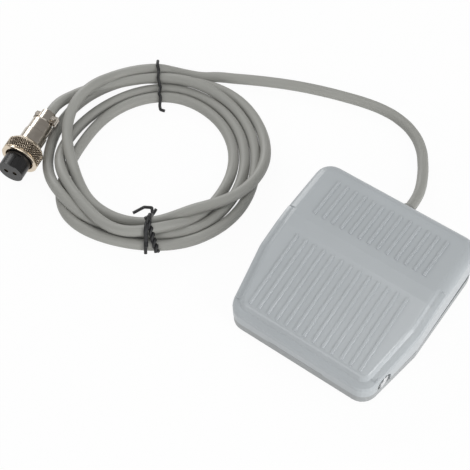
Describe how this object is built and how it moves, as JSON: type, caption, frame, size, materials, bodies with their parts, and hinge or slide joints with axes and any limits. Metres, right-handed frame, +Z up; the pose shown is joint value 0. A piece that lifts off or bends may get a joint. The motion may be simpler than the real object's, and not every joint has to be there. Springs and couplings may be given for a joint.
{
  "type": "foot switch",
  "caption": "Hinged treadle foot switch on a low base, with a snap-action switch inside and a tied, coiled lead ending in a round threaded plug.",
  "frame": {"origin": "middle of the pedal on the floor, without the cord", "axes": "+X across the foot to the right seen from the heel, +Y from heel to toe and cord exit, +Z up"},
  "size_m": [0.2826, 0.1854, 0.033],
  "materials": {
    "treadle_grey": "semi-gloss moulded plastic",
    "base_paint": "semi-gloss grey paint on a casting",
    "foot_rubber": "matt",
    "zinc": "bright zinc plate",
    "bracket_steel": "plain",
    "spring_steel": "plain",
    "switch_black": "moulded",
    "plunger_red": "moulded",
    "brass": "plain",
    "wire_brown": "insulation",
    "wire_blue": "insulation",
    "cord_grey": "satin sheath",
    "gland_grey": "satin",
    "tie_black": "plastic covered wire",
    "nickel": "nickel plate",
    "insert_black": "moulded"
  },
  "bodies": {
    "base": {"base_shell": "base_paint", "rubber_feet": "foot_rubber", "pivot_bolts": "zinc", "pivot_washers": "zinc", "pivot_nuts": "zinc", "switch_bracket": "bracket_steel", "bracket_screws": "zinc", "switch_case": "switch_black", "switch_cover": "switch_black", "switch_screws": "zinc", "switch_nuts": "zinc", "terminal_com": "brass", "terminal_no": "brass", "terminal_nc": "brass", "lever_pin": "bracket_steel", "wire_com": "wire_brown", "wire_no": "wire_blue", "cord_clamp": "bracket_steel", "clamp_screws": "zinc", "cord_gland": "gland_grey", "cord_entry": "cord_grey", "cord_lead": "cord_grey", "cord_coil": "cord_grey", "cord_tail": "cord_grey", "coil_ties": "tie_black", "plug_barrel": "nickel", "plug_collar": "nickel", "plug_clamp": "nickel", "plug_clamp_screws": "nickel", "plug_insert": "insert_black", "plug_contacts": "brass"},
    "treadle": {"treadle": "treadle_grey", "stop_screws": "zinc", "return_springs": "spring_steel"},
    "lever": {"switch_lever": "bracket_steel"},
    "plunger": {"switch_plunger": "plunger_red"},
    "blade": {"contact_blade": "brass"},
    "ring": {"coupling_ring": "nickel"}
  },
  "joints": [
    {"name": "treadle_hinge", "type": "hinge", "parent": "base", "child": "treadle", "pos_m": [0, -0.04, 0.0116], "axis": [-1, 0, 0], "range_deg": [0, 3.2], "stiffness_Nm_per_rad": 4, "springref_deg": -8.59, "deforming": ["return_springs"]},
    {"name": "lever_hinge", "type": "hinge", "parent": "base", "child": "lever", "pos_m": [0, 0.0066, 0.0251], "axis": [-1, 0, 0], "range_deg": [0, 10]},
    {"name": "plunger_slide", "type": "slide", "parent": "base", "child": "plunger", "axis": [0, 0, -1], "range_m": [0, 0.00095]},
    {"name": "blade_rock", "type": "hinge", "parent": "base", "child": "blade", "pos_m": [0, 0.0134, 0.01478], "axis": [-1, 0, 0], "range_deg": [0, 4]},
    {"name": "ring_turn", "type": "hinge", "parent": "base", "child": "ring", "pos_m": [-0.223, -0.004, 0.012], "axis": [0.2079, -0.9781, 0], "continuous": true}
  ],
  "couplings": [
    {"joint": "lever_hinge", "follows": "treadle_hinge", "ratio": 3},
    {"joint": "plunger_slide", "follows": "treadle_hinge", "m_per_rad": 0.016},
    {"joint": "blade_rock", "follows": "treadle_hinge", "ratio": 1.15}
  ]
}
